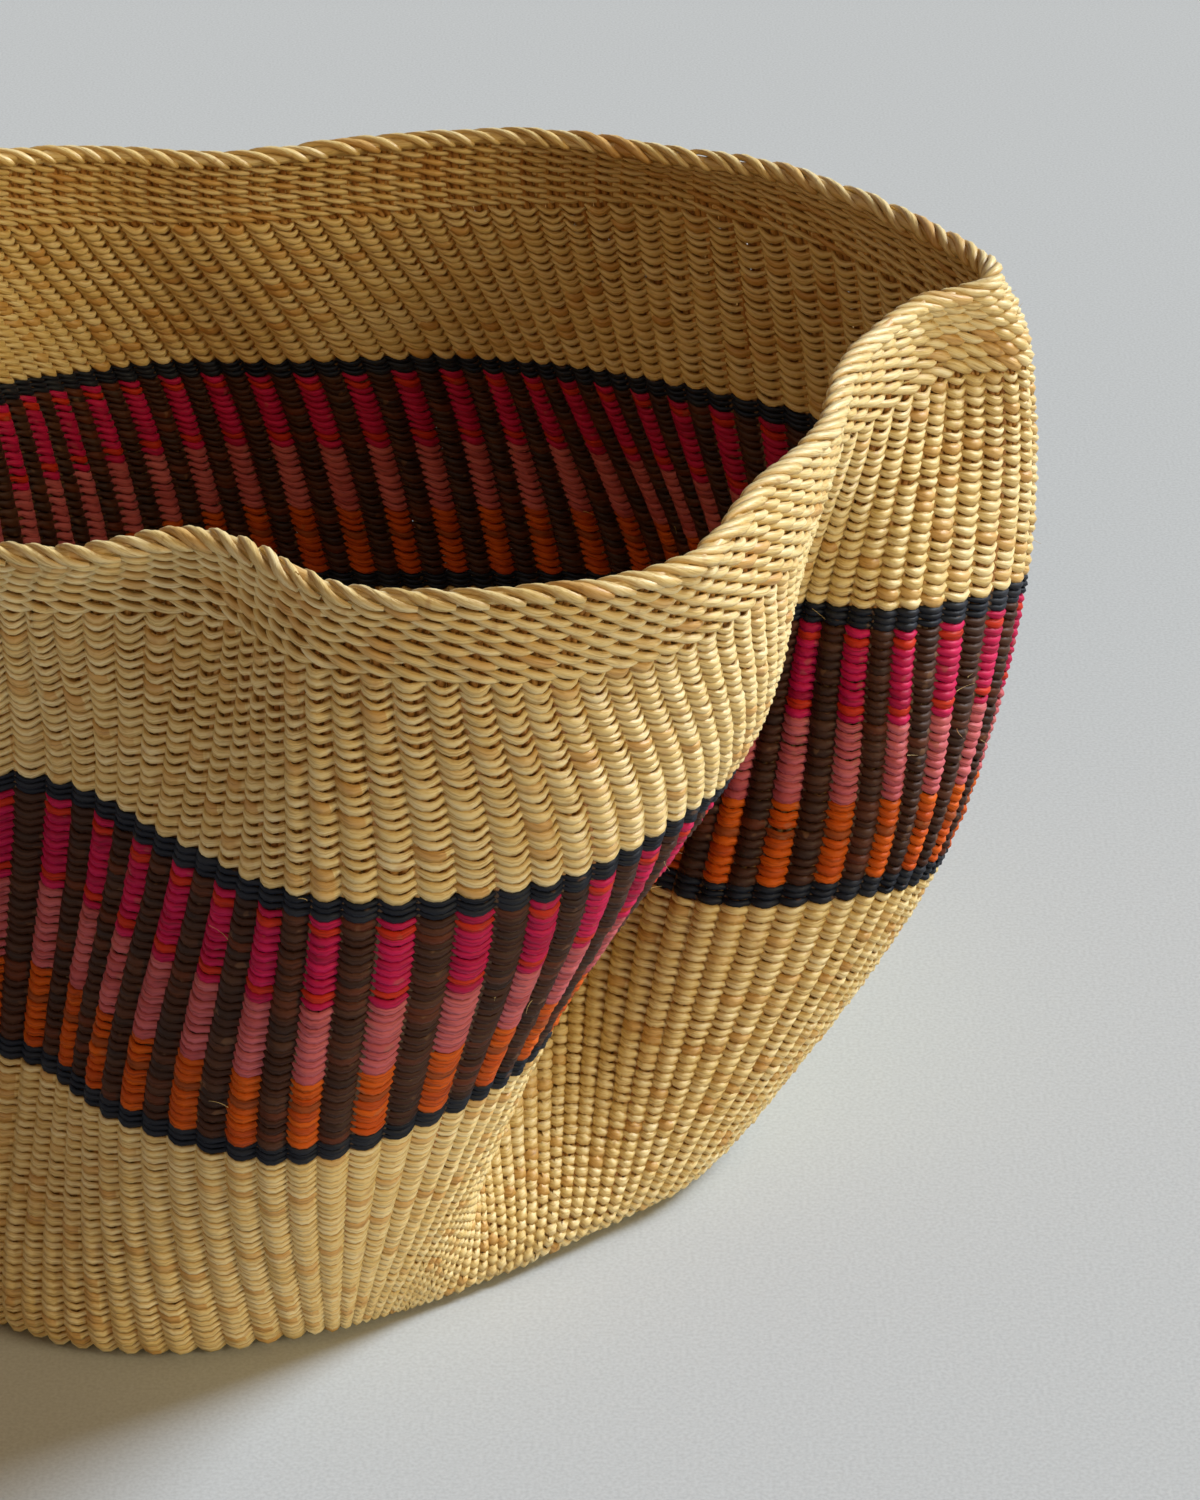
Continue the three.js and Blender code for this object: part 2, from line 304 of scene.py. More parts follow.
def straw_finish(name, stops, roughness=STRAW_ROUGHNESS, band_levels=None):
    """Undyed grass: every stitch has its own tone, with fibres and stains along it, and the
    two edges of a strand, where it lies in the creases against the next rows, get painted
    shade in golden brown. Stakes are mixed toward dark brown between two levels of the wall."""
    finish = Finish(name, roughness, STRAW_GLOSS)
    fibre, lines, blotches = add_fibres(finish, *STRAW_RELIEF)
    _, _, beside = finish.parts(fibre)
    _, level, chance = finish.parts(finish.attribute("stitch"))
    tone = finish.ramp(chance, stops)
    # Between the two levels of the band, the stakes are mixed toward dark brown
    if band_levels:
        low, high = band_levels
        banded = finish.maths("MULTIPLY", finish.maths("GREATER_THAN", level, low),
                            finish.maths("LESS_THAN", level, high))
        banded = finish.maths("MULTIPLY", banded, STAKE_BAND_TONE_SHARE)
        tone = finish.mixed(banded, tone, shade(STAKE_BAND_TONE))
    streak = finish.ramp(lines, STRAW_STREAKS)
    toned = finish.mixed(STRAW_STREAK_SHARE, tone, streak, "MULTIPLY")
    rising = finish.maths("MULTIPLY_ADD", blotches, STAIN_GAIN, STAIN_OFFSET)
    stain = finish.maths("SMOOTH_MAX", rising, 0.0, STAIN_SOFTNESS)
    stained = finish.mixed(finish.maths("MINIMUM", stain, MOST_STAIN), toned, shade(STAIN))
    # Painted shade: the strand's edges, in the creases between rows, turn golden brown
    edge = finish.maths("POWER", finish.maths("ABSOLUTE", beside), 2.0)
    painted_shade = finish.maths("MULTIPLY", edge, PAINTED_CREVICE_SHADE_SHARE)
    finish.colour(finish.mixed(painted_shade, stained, shade(PAINTED_CREVICE_SHADE)))
    return finish.material


def dyed_finish(name, rib_tones, brown_tones, odd_rows=(), odd_tone=None):
    """Dyed grass: one strand has the course's colour, and the other is dark brown. Odd rows
    have another colour than the course's."""
    finish = Finish(name, DYED_ROUGHNESS, DYED_GLOSS)
    _, lines, blotches = add_fibres(finish, *DYED_RELIEF)
    strand, row, chance = finish.parts(finish.attribute("stitch"))
    banded = finish.ramp(chance, rib_tones)
    for number in odd_rows:
        here = finish.maths("COMPARE", row, float(number), 0.5)
        banded = finish.mixed(here, banded, shade(odd_tone))
    brown = finish.ramp(chance, brown_tones)
    tone = finish.mixed(finish.maths("MINIMUM", strand, 1.0), banded, brown)
    streak = finish.ramp(lines, DYED_STREAKS)
    toned = finish.mixed(DYED_STREAK_SHARE, tone, streak, "MULTIPLY")
    rising = finish.maths("MULTIPLY_ADD", blotches, WORN_GAIN, WORN_OFFSET)
    worn = finish.maths("MINIMUM", finish.maths("MAXIMUM", rising, 0.0), MOST_WORN)
    finish.colour(finish.mixed(worn, toned, shade(WORN)))
    return finish.material


# The middle surface of the wall
def cubic(before, start, end, after, share):
    slope_start = (end - before) / 2
    slope_end = (after - start) / 2
    bend = 2 * (start - end) + slope_start + slope_end
    rise = 3 * (end - start) - 2 * slope_start - slope_end
    return ((bend * share + rise) * share + slope_start) * share + start


def place_on_level(level, turn):
    """Places on one level's closed curve, at shares of the way round."""
    along = (turn - np.floor(turn)) * len(level)
    station = np.floor(along).astype(int)
    near = [level[(station + step) % len(level)] for step in (-1, 0, 1, 2)]
    return cubic(*near, (along - station)[..., None])


def real_level(shares):
    return np.array(shares) * (BELLY_WIDTH / 2, BELLY_WIDTH / 2, STANDING_HEIGHT)


def ring_on_floor(share):
    ring = real_level(HEEL_SHARES) * share
    ring[:, 2] = WALL_THICKNESS / 2
    return ring


LEVELS = [ring_on_floor(FLOOR_SHARE), ring_on_floor(FOOT_SHARE)] + [
    real_level(shares) for shares in
    (HEEL_SHARES, LOWER_LINE_SHARES, UPPER_LINE_SHARES, COLLAR_SHARES, RIM_SHARES)]
HEEL_LEVEL, LOWER_LEVEL, UPPER_LEVEL, COLLAR_LEVEL, RIM_LEVEL = 2, 3, 4, 5, 6


def middle(turn, height):
    """Places on the wall's middle surface. Past the end levels a rib goes straight on."""
    inner = [place_on_level(level, turn) for level in LEVELS]
    crossings = np.array([2 * inner[0] - inner[1]] + inner + [2 * inner[-1] - inner[-2]])
    level = np.minimum(np.floor(height).astype(int), len(LEVELS) - 2)
    at = np.arange(len(turn))
    near = [crossings[level + step, at] for step in range(4)]
    place = cubic(*near, (height - level)[:, None])
    place[:, 2] = np.maximum(place[:, 2], WALL_THICKNESS / 2)
    return place


PROBE = 0.001  # of a turn or a level, for slopes


def wall_slopes(turn, height):
    """How the middle surface runs round the wall and up it, for a whole turn or level."""
    low = np.maximum(height - PROBE, 0)
    high = np.minimum(height + PROBE, RIM_LEVEL)
    up = (middle(turn, high) - middle(turn, low)) / (high - low)[:, None]
    round_ = (middle(turn + PROBE, height) - middle(turn - PROBE, height)) / (2 * PROBE)
    return round_, up


def unit(vectors):
    return vectors / np.linalg.norm(vectors, axis=1)[:, None]


def borders():
    """Heights of the borders between the courses, counted in levels."""
    half = NAVY_LINE_HEIGHT / 2
    band = NAVY_LINE_HEIGHT + ORANGE_HEIGHT + PINK_HEIGHT + MAGENTA_HEIGHT
    orange = LOWER_LEVEL + half / band
    pink = orange + ORANGE_HEIGHT / band
    magenta = pink + PINK_HEIGHT / band
    return {
        "lower_navy": LOWER_LEVEL - half / (LOWER_WALL_HEIGHT + half),
        "orange": orange,
        "pink": pink,
        "magenta": magenta,
        "upper_navy": magenta + MAGENTA_HEIGHT / band,
        "upper_wall": UPPER_LEVEL + half / (UPPER_WALL_HEIGHT + half),
        "rim": RIM_LEVEL - RIM_HEIGHT / (COLLAR_HEIGHT + RIM_HEIGHT),
    }


# Guide surfaces that the strands follow
RIB_STEPS = 161  # places along a rib at which its length is measured


def guide(name, place, columns, lines):
    """A sheet with a UV map and its own directions. place(turn, share) gives positions,
    directions out of the wall and up it, and the lengths of a turn and of the sheet with
    the height in levels."""
    turn, share = np.meshgrid(np.arange(columns + 1) / columns, np.arange(lines + 1) / lines)
    turn, share = turn.ravel(), share.ravel()
    position, out, up, rooms = place(turn, share)
    width = columns + 1
    corner = (np.arange(lines)[:, None] * width + np.arange(columns)).ravel()
    faces = np.stack([corner, corner + 1, corner + width + 1, corner + width], 1)
    mesh = bpy.data.meshes.new(name)
    mesh.from_pydata(position.tolist(), [], faces.tolist())
    layer = mesh.uv_layers.new(name="place_on_wall")
    corners = faces.ravel()
    layer.uv.foreach_set("vector", np.stack([turn[corners], share[corners]], 1).ravel())
    for label, values in (("out", out), ("up", up), ("rooms", rooms)):
        layer = mesh.attributes.new(label, "FLOAT_VECTOR", "POINT")
        layer.data.foreach_set("vector", values.astype(np.float32).ravel())
    return mesh


def even_heights(turn, share, start, end):
    """The heights at these shares of each rib's length from start to end, and that length."""
    ribs, rib = np.unique(turn, return_inverse=True)
    steps = np.linspace(start, end, RIB_STEPS)
    along = middle(np.repeat(ribs, RIB_STEPS), np.tile(steps, len(ribs)))
    pieces = np.linalg.norm(np.diff(along.reshape(len(ribs), RIB_STEPS, 3), axis=1), axis=2)
    reached = np.hstack([np.zeros((len(ribs), 1)), np.cumsum(pieces, axis=1)])
    height = np.empty(len(turn))
    for number in range(len(ribs)):
        here = rib == number
        height[here] = np.interp(share[here] * reached[number, -1], reached[number], steps)
    return height, reached[rib, -1]


def wall_guide(name, start, end, lines=16, first=0.0, last=1.0):
    """The stretch of the wall between two heights, or only some shares of that stretch."""
    def place(turn, share):
        height, length = even_heights(turn, first + (last - first) * share, start, end)
        round_, up = wall_slopes(turn, height)
        out = unit(np.cross(round_, up))
        rooms = np.stack([np.linalg.norm(round_, axis=1), length * (last - first), height], 1)
        return middle(turn, height), out, unit(up), rooms
    return guide(name, place, columns=2 * RIBS, lines=lines)


def rim_guide(name):
    """Straight on from the collar, as the plait's solid is."""
    foot = borders()["rim"]

    def place(turn, share):
        height = np.full(len(turn), foot)
        round_, up = wall_slopes(turn, height)
        out = unit(np.cross(round_, up))
        rise = (RIM_GAP - COURSE_GAP / 2 + RIM_HEIGHT * share)[:, None] * unit(up)
        rooms = np.stack([np.linalg.norm(round_, axis=1), np.full(len(turn), RIM_HEIGHT),
                          np.zeros(len(turn))], 1)
        return middle(turn, height) + rise, out, unit(up), rooms
    return guide(name, place, columns=2 * RIBS, lines=4)


def base_guide(name, start, end):
    """A flat ring of the base, between two shares of the way out to the wall."""
    def place(turn, share):
        edge = middle(turn, np.full(len(turn), WALL_START))
        edge[:, 2] = 0
        reach = np.linalg.norm(edge, axis=1)
        far = start + (end - start) * share
        radius = BASE_START_RADIUS + COURSE_GAP + (reach - BASE_START_RADIUS) * far
        outward = unit(edge)
        position = outward * radius[:, None]
        position[:, 2] = WALL_THICKNESS / 2
        down = np.tile((0.0, 0.0, -1.0), (len(turn), 1))
        rooms = np.stack([2 * math.pi * radius, (reach - BASE_START_RADIUS) * (end - start),
                          np.zeros(len(turn))], 1)
        return position, down, outward, rooms
    return guide(name, place, columns=RIBS, lines=8)


# Node trees
class Field:
    """A socket of a node tree that takes part in sums and products."""

    def __init__(self, wiring, socket):
        self.wiring = wiring
        self.socket = socket

    def is_vector(self):
        return self.socket.type == "VECTOR"

    def __add__(self, other):
        return self.wiring.sum("ADD", self, other)

    __radd__ = __add__

    def __sub__(self, other):
        return self.wiring.sum("SUBTRACT", self, other)

    def __rsub__(self, other):
        return self.wiring.maths("SUBTRACT", other, self)

    def __mul__(self, other):
        if self.is_vector():
            return self.wiring.vectors("SCALE", self, other)
        return self.wiring.maths("MULTIPLY", self, other)

    def __truediv__(self, other):
        return self.wiring.maths("DIVIDE", self, other)

    def __pow__(self, other):
        return self.wiring.maths("POWER", self, other)


STRAND_SHIFT = 37.0  # millimetres from one strand's pattern of fibres to the next one's


class Wiring:
    """A geometry node tree, with calls that add a node, feed it and give its result. Its
    inputs are given as lists of names, one for each kind of socket."""

    def __init__(self, name, inputs):
        self.tree = bpy.data.node_groups.new(name, "GeometryNodeTree")
        labels = [(label, kind) for kind, group in inputs.items() for label in group]
        for label, kind in labels:
            self.tree.interface.new_socket(name=label, in_out="INPUT",
                                           socket_type="NodeSocket" + kind)
        self.tree.interface.new_socket(name="Geometry", in_out="OUTPUT",
                                       socket_type="NodeSocketGeometry")
        given = self.tree.nodes.new("NodeGroupInput").outputs
        self.inputs = {label: Field(self, given[label]) for label, _ in labels}

    def add(self, kind, *fed, out=0, **settings):
        node = self.tree.nodes.new(kind)
        for key, value in settings.items():
            setattr(node, key, value)
        for socket, value in zip([s for s in node.inputs if s.enabled], fed):
            if isinstance(value, Field):
                self.tree.links.new(value.socket, socket)
            elif value is not None:
                socket.default_value = value
        return Field(self, [s for s in node.outputs if s.enabled][out])

    def maths(self, operation, *values):
        return self.add("ShaderNodeMath", *values, operation=operation)

    def vectors(self, operation, *values):
        return self.add("ShaderNodeVectorMath", *values, operation=operation)

    def sum(self, operation, first, second):
        if first.is_vector():
            return self.vectors(operation, first, second)
        return self.maths(operation, first, second)

    def floor(self, value):
        return self.maths("FLOOR", value)

    def cosine(self, value):
        return self.maths("COSINE", value)

    def sine(self, value):
        return self.maths("SINE", value)

    def size(self, value):
        return self.maths("ABSOLUTE", value)

    def least(self, first, second):
        return self.maths("MINIMUM", first, second)

    def most(self, first, second):
        return self.maths("MAXIMUM", first, second)

    def vector(self, x, y, z=0.0):
        return self.add("ShaderNodeCombineXYZ", x, y, z)

    def parts(self, vector):
        node = self.tree.nodes.new("ShaderNodeSeparateXYZ")
        self.tree.links.new(vector.socket, node.inputs[0])
        return [Field(self, socket) for socket in node.outputs]

    def read(self, name, kind="FLOAT_VECTOR"):
        return self.add("GeometryNodeInputNamedAttribute", name, data_type=kind)

    def keep(self, geometry, name, value, kind="FLOAT_VECTOR"):
        return self.add("GeometryNodeStoreNamedAttribute", geometry, None, name, value,
                        data_type=kind)

    def forget(self, geometry, name):
        return self.add("GeometryNodeRemoveAttribute", geometry, name)

    def sampled(self, sheet, value, place):
        return self.add("GeometryNodeSampleUVSurface", sheet, value,
                        self.read("place_on_wall"), place, data_type="FLOAT_VECTOR")

    def on_guide(self, place, *names):
        """The position of a place on the guide, and the guide's named values there."""
        values = [self.add("GeometryNodeInputPosition")] + [self.read(name) for name in names]
        return [self.sampled(self.inputs["Guide"], value, place) for value in values]

    def chances(self, number, count):
        """So many random shares between 0 and 1 for each number, each from its own seed."""
        return [self.add("FunctionNodeRandomValue", 0.0, 1.0, number, self.inputs["Seed"] + turn,
                         data_type="FLOAT") for turn in range(count)]

    def share_along(self, step):
        return step / (self.inputs["Steps"] - 1.0)

    def run(self, steps, pace, line):
        """The way along a strand in millimetres, for its pattern of fibres."""
        return steps * pace + line * STRAND_SHIFT

    def moved(self, geometry, position, offset=None):
        return self.add("GeometryNodeSetPosition", geometry, None, position, offset)

    def finish(self, geometry, material):
        geometry = self.add("GeometryNodeRealizeInstances", geometry)
        geometry = self.add("GeometryNodeSetShadeSmooth", geometry, None, True)
        geometry = self.add("GeometryNodeSetMaterial", geometry, None, material)
        out = self.tree.nodes.new("NodeGroupOutput")
        self.tree.links.new(geometry.socket, out.inputs[0])
        return self.tree

    def lines(self, count, length, closed):
        """Curves of so many points each, with a point's number along its curve and the
        curve's number."""
        points = self.add("GeometryNodePoints", count * length)
        index = self.add("GeometryNodeInputIndex")
        line = self.floor(index / length)
        curves = self.add("GeometryNodePointsToCurves", points, line, index)
        if closed:
            curves = self.add("GeometryNodeSetSplineCyclic", curves, None, True)
        return curves, index - line * length, line

    def thickened(self, curves, outward, depth, width, run, stitch):
        """Closed strands round curves. depth is half their thickness in the direction
        outward, and width is half of it along the wall. For the colours, the mesh keeps
        run in "fibre", and in "stitch" the strand, its row or level and a random share."""
        tangent = self.add("GeometryNodeInputTangent")
        along = tangent * self.vectors("DOT_PRODUCT", outward, tangent)
        upright = self.vectors("NORMALIZE", self.vectors("SUBTRACT", outward, along))
        sideways = self.vectors("CROSS_PRODUCT", tangent, upright)
        curves = self.keep(curves, "across", upright * depth)
        curves = self.keep(curves, "beside", sideways * width)
        curves = self.keep(curves, "stitch", stitch)
        curves = self.keep(curves, "run", run, "FLOAT")
        ring = self.add("GeometryNodeCurvePrimitiveCircle", self.inputs["Sides"], None, None,
                        None, 1.0)
        ring = self.keep(ring, "section", self.add("GeometryNodeInputPosition"))
        # Open strands get a cap at each end. Closed ones have no ends.
        mesh = self.add("GeometryNodeCurveToMesh", curves, ring, 0.0, True)
        x, y, _ = self.parts(self.read("section"))
        mesh = self.moved(mesh, None, self.read("across") * x + self.read("beside") * y)
        mesh = self.keep(mesh, "fibre", self.vector(self.read("run", "FLOAT"), x, y))
        for name in ("across", "beside", "section", "run"):
            mesh = self.forget(mesh, name)
        return mesh


# The shape of a twined strand
SWING_FLATTENING = 0.22  # lays a stitch flat on its rib
LEAN_SHARE = 0.5  # of the lean, by which the whole strand lies further out
CROWDING_POWER = 0.4  # of the ribs' room where they are crowded, for the swing
STITCH_STRIDE = 911.0  # more than a row's stitches, so that each has its own number
# How far single stitches differ, for an unevenness of 1
STRAY_OUT = 0.5 * MM
STRAY_UP = 0.35  # of a row's height
STRAY_DEPTH = 0.5  # of a strand's depth
STRAY_WIDTH = 0.6  # of a strand's width

WEAVE_INPUTS = {
    "Geometry": ["Guide"],
    "Int": ["Rows", "First Row", "Ribs", "Strands", "Ribs per Wave", "Steps per Rib", "Sides",
            "Seed"],
    "Float": ["Half Depth", "Height Share", "Swing Out", "Swing Up Share", "Lean Out", "Pinch",
              "Blunt End", "Taper", "Lag", "Sag Share", "Unevenness"],
    "Material": ["Material"],
}


def weave_tree():
    """Rows of strands that pass before and behind the ribs in turn, twisting round each
    other. Two strands make plain twining, and three make the closer rows of the collar."""
    w = Wiring("twined_rows", WEAVE_INPUTS)
    g = w.inputs
    per_loop = g["Ribs"] * g["Steps per Rib"]
    curves, step, loop = w.lines(g["Rows"] * g["Strands"], per_loop, True)
    rib = step / g["Steps per Rib"]
    row = w.floor(loop / g["Strands"])
    strand = loop - row * g["Strands"]
    place = w.vector(rib / g["Ribs"], (row + 0.5) / g["Rows"])
    position, out, up, rooms = w.on_guide(place, "out", "up", "rooms")
    turn_length, sheet_height, _ = w.parts(rooms)
    rib_room = turn_length / g["Ribs"]
    row_room = sheet_height / g["Rows"]

    wave = (rib - strand) / g["Ribs per Wave"]
    phase = wave * (2 * math.pi)
    stitch_number = loop * STITCH_STRIDE + w.floor(wave * 2.0 + 0.5)
    chances = w.chances(stitch_number, 4)
    stray = [(chance - 0.5) * g["Unevenness"] for chance in chances]
    # A strand stays outside a little past its rib, so its blunt end covers the thin start
    # of the strand that comes out next.
    cosine = w.cosine(phase - g["Lag"])
    sine = w.sine(phase)
    lean = g["Lean Out"]
    bulge = w.least(w.size((w.cosine(phase) + lean) / (lean + 1.0)), 1.0)
    swell = w.most(bulge ** g["Taper"], sine * g["Blunt End"])
    plump = g["Pinch"] + (1.0 - g["Pinch"]) * swell
    crowding = w.least(rib_room / PLAIN_RIB_ROOM, 1.0) ** CROWDING_POWER
    flattened = (1.0 + SWING_FLATTENING) - cosine * cosine * SWING_FLATTENING
    swing = cosine * flattened + lean * LEAN_SHARE
    out_by = swing * g["Swing Out"] * crowding + stray[3] * bulge * STRAY_OUT
    sag = (0.5 - bulge) * g["Sag Share"]
    up_by = row_room * (sine * g["Swing Up Share"] + sag + stray[1] * bulge * STRAY_UP)
    depth = plump * g["Half Depth"] * (1.0 + stray[2] * STRAY_DEPTH)
    width = row_room * plump * g["Height Share"] * (1.0 + stray[0] * STRAY_WIDTH)
    curves = w.moved(curves, position + out * out_by + up * up_by)
    mesh = w.thickened(curves, out, depth, width, w.run(rib, PLAIN_RIB_ROOM / MM, loop),
                       w.vector(strand, row + g["First Row"], chances[0]))
    return w.finish(mesh, g["Material"])


# A stake wanders a little from side to side on its way up the wall
STAKE_WANDER = 0.03  # of the room between two ribs
WANDER_PACE = 0.9  # radians from step to step
WANDER_START = 6.0  # radians, by a stake's chance
WIDEST_STAKE = 1.4  # times its plain width, where the ribs lie far apart
STAKE_PACE = 5.0  # about the millimetres from step to step

STAKE_INPUTS = {
    "Geometry": ["Guide"],
    "Int": ["Ribs", "Stakes per Rib", "Steps", "Sides", "Seed"],
    "Float": ["Half Depth", "Half Width", "Spread Share"],
    "Material": ["Material"],
}


def stake_tree():
    """Bundles of thin stakes that run up the wall, and that the rows hold together."""
    w = Wiring("bundled_stakes", STAKE_INPUTS)
    g = w.inputs
    in_bundle = g["Stakes per Rib"]
    curves, step, line = w.lines(g["Ribs"] * in_bundle, g["Steps"], False)
    rib = w.floor(line / in_bundle)
    stake = line - rib * in_bundle
    chances = w.chances(line, 2)
    beside = (stake - (in_bundle - 1.0) * 0.5) * g["Spread Share"] / in_bundle
    wander = w.sine(step * WANDER_PACE + chances[1] * WANDER_START) * STAKE_WANDER
    around = (rib + beside + wander) / g["Ribs"]
    place = w.vector(around - w.floor(around), w.share_along(step))
    position, out, rooms = w.on_guide(place, "out", "rooms")
    turn_length, _, level = w.parts(rooms)
    widened = w.least(turn_length / g["Ribs"] / PLAIN_RIB_ROOM, WIDEST_STAKE)
    curves = w.moved(curves, position + out * ((chances[0] - 0.5) * STRAY_OUT))
    mesh = w.thickened(curves, out, g["Half Depth"], g["Half Width"] * widened,
                       w.run(step, STAKE_PACE, line), w.vector(0.0, level, chances[0]))
    return w.finish(mesh, g["Material"])


# A stake end over the rim: how far it turns round the rim's section, from inside and below
OVER_RIM_START = math.radians(215)
OVER_RIM_TURN = math.radians(235)
SLANT_POWER = 1.6  # it rises straight, and then slants more and more
STRAY_AHEAD = 0.4  # of the room between two ribs
STRAY_LOOSE = 0.2  # of how far it lies from the rim's middle
START_LOOSE = 0.8
MORE_LOOSE = 0.25  # at its end
START_THINNING = 0.45
START_THINNING_POWER = 3.0
END_THINNING = 0.35
END_THINNING_POWER = 12.0
THINNEST = 0.82
THICKNESS_RANGE = 0.36
OVER_RIM_PACE = 2.0  # about the millimetres from step to step

BORDER_INPUTS = {
    "Geometry": ["Guide"],
    "Int": ["Ribs", "Steps", "Sides", "Seed"],
    "Float": ["Reach in Ribs", "Half Depth", "Half Width", "Round Out", "Round Up"],
    "Material": ["Material"],
}


def border_tree():
    """Stake ends that rise inside the rim, turn over its top and lie slanting along its
    outside, each with its blunt end over the start of the next ones."""
    w = Wiring("stake_ends_over_the_rim", BORDER_INPUTS)
    g = w.inputs
    curves, step, line = w.lines(g["Ribs"], g["Steps"], False)
    chances = w.chances(line, 3)
    along = w.share_along(step)
    angle = OVER_RIM_START - along * OVER_RIM_TURN
    ahead = along ** SLANT_POWER * g["Reach in Ribs"] + (chances[1] - 0.5) * STRAY_AHEAD
    around = (line + ahead) / g["Ribs"]
    place = w.vector(around - w.floor(around), 0.5)
    position, out, up = w.on_guide(place, "out", "up")
    outward = out * w.cosine(angle)
    upward = up * w.sine(angle)
    loose = (1.0 + (chances[2] - 0.5) * STRAY_LOOSE) * (START_LOOSE + along * MORE_LOOSE)
    curves = w.moved(curves, position + outward * (g["Round Out"] * loose)
                     + upward * (g["Round Up"] * loose))
    start_thin = (1.0 - along) ** START_THINNING_POWER * START_THINNING
    end_thin = along ** END_THINNING_POWER * END_THINNING
    thin = (1.0 - start_thin - end_thin) * (THINNEST + chances[0] * THICKNESS_RANGE)
    mesh = w.thickened(curves, outward + upward, g["Half Depth"] * thin, g["Half Width"] * thin,
                       w.run(step, OVER_RIM_PACE, line), w.vector(0.0, 0.0, chances[0]))
    return w.finish(mesh, g["Material"])


INNER_FACE_PICK = 1.3  # a chance times this, rounded down, is 1 for ends on the inner face
SHORTEST_END = 0.35  # of the full length
END_TAPER = 0.7
END_PACE = 2.0  # for the pattern of fibres

LOOSE_INPUTS = {
    "Geometry": ["Guide"],
    "Int": ["Count", "Steps", "Sides", "Seed"],
    "Float": ["Length", "Thickness", "Start Out", "Lift"],
    "Material": ["Material"],
}


def loose_end_tree():
    """Fine fibre ends that have sprung from the rows, on both faces of the wall."""
    w = Wiring("loose_fibre_ends", LOOSE_INPUTS)
    g = w.inputs
    curves, step, line = w.lines(g["Count"], g["Steps"], False)
    chances = w.chances(line, 6)
    position, out, up = w.on_guide(w.vector(chances[0], chances[1]), "out", "up")
    face = w.floor(chances[2] * INNER_FACE_PICK) * -2.0 + 1.0
    along = w.share_along(step)
    length = g["Length"] * (SHORTEST_END + chances[3] * (1.0 - SHORTEST_END))
    sideways = w.vectors("CROSS_PRODUCT", up, out) * (length * along * (chances[4] * 2.0 - 1.0))
    upward = up * (length * along * (chances[5] - 0.5))
    outward = out * (face * (g["Start Out"] + g["Lift"] * along * along * chances[3]))
    curves = w.moved(curves, position + sideways + upward + outward)
    thickness = g["Thickness"] * (1.0 - along * END_TAPER)
    mesh = w.thickened(curves, out, thickness, thickness, w.run(step, END_PACE, line),
                       w.vector(0.0, 0.0, chances[3]))
    return w.finish(mesh, g["Material"])


CROSSING_HALF_WIDTH = 0.56  # of the room from one stake to the next
CROSSING_PACE = 3.0  # about the millimetres from step to step

CROSSING_INPUTS = {
    "Int": ["Bundles", "Stakes per Bundle", "Steps", "Sides", "Seed"],
    "Float": ["Radius", "Middle Height", "Swing", "Half Depth"],
    "Material": ["Material"],
}


def crossing_tree():
    """Two sets of stakes that cross over and under each other, cut to a round plate."""
    w = Wiring("crossed_stakes", CROSSING_INPUTS)
    g = w.inputs
    per_set = g["Bundles"] * g["Stakes per Bundle"]
    curves, step, line = w.lines(per_set * 2.0, g["Steps"], False)
    crosswise = w.floor(line / per_set)
    stake = line - crosswise * per_set
    bundle = w.floor(stake / g["Stakes per Bundle"])
    pitch = g["Radius"] * 2.0 / per_set
    offset = (stake - (per_set - 1.0) * 0.5) * pitch
    reach = (g["Radius"] * g["Radius"] - offset * offset) ** 0.5
    along = (w.share_along(step) * 2.0 - 1.0) * reach
    waves = along / (pitch * g["Stakes per Bundle"]) + g["Bundles"] * 0.5 - 0.5
    lift = w.cosine((waves + bundle + crosswise) * math.pi) * g["Swing"]
    lengthwise = 1.0 - crosswise
    x = along * lengthwise + offset * crosswise
    y = offset * lengthwise + along * crosswise
    curves = w.moved(curves, w.vector(x, y, g["Middle Height"] + lift))
    chance = w.chances(line, 1)[0]
    down = w.vector(0.0, 0.0, -1.0)
    mesh = w.thickened(curves, down, g["Half Depth"], pitch * CROSSING_HALF_WIDTH,
                       w.run(step, CROSSING_PACE, line), w.vector(0.0, 0.0, chance))
    return w.finish(mesh, g["Material"])


def run_tree(name, tree, guide_mesh, settings):
    """The tree's result on a guide, as a plain mesh in an object of its own."""
    carrier = bpy.data.objects.new(name, guide_mesh or bpy.data.meshes.new(name))
    bpy.context.scene.collection.objects.link(carrier)
    modifier = carrier.modifiers.new("weave", "NODES")
    modifier.node_group = tree
    for item in tree.interface.items_tree:
        if item.in_out == "INPUT" and item.name in settings:
            modifier[item.identifier] = settings[item.name]
    graph = bpy.context.evaluated_depsgraph_get()
    mesh = bpy.data.meshes.new_from_object(carrier.evaluated_get(graph),
                                           preserve_all_data_layers=True, depsgraph=graph)
    bpy.data.objects.remove(carrier)
    mesh.name = name
    piece = bpy.data.objects.new(name, mesh)
    bpy.context.scene.collection.objects.link(piece)
    return piece


def finish_piece(piece, nodes):
    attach(piece, "root")
    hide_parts(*nodes)


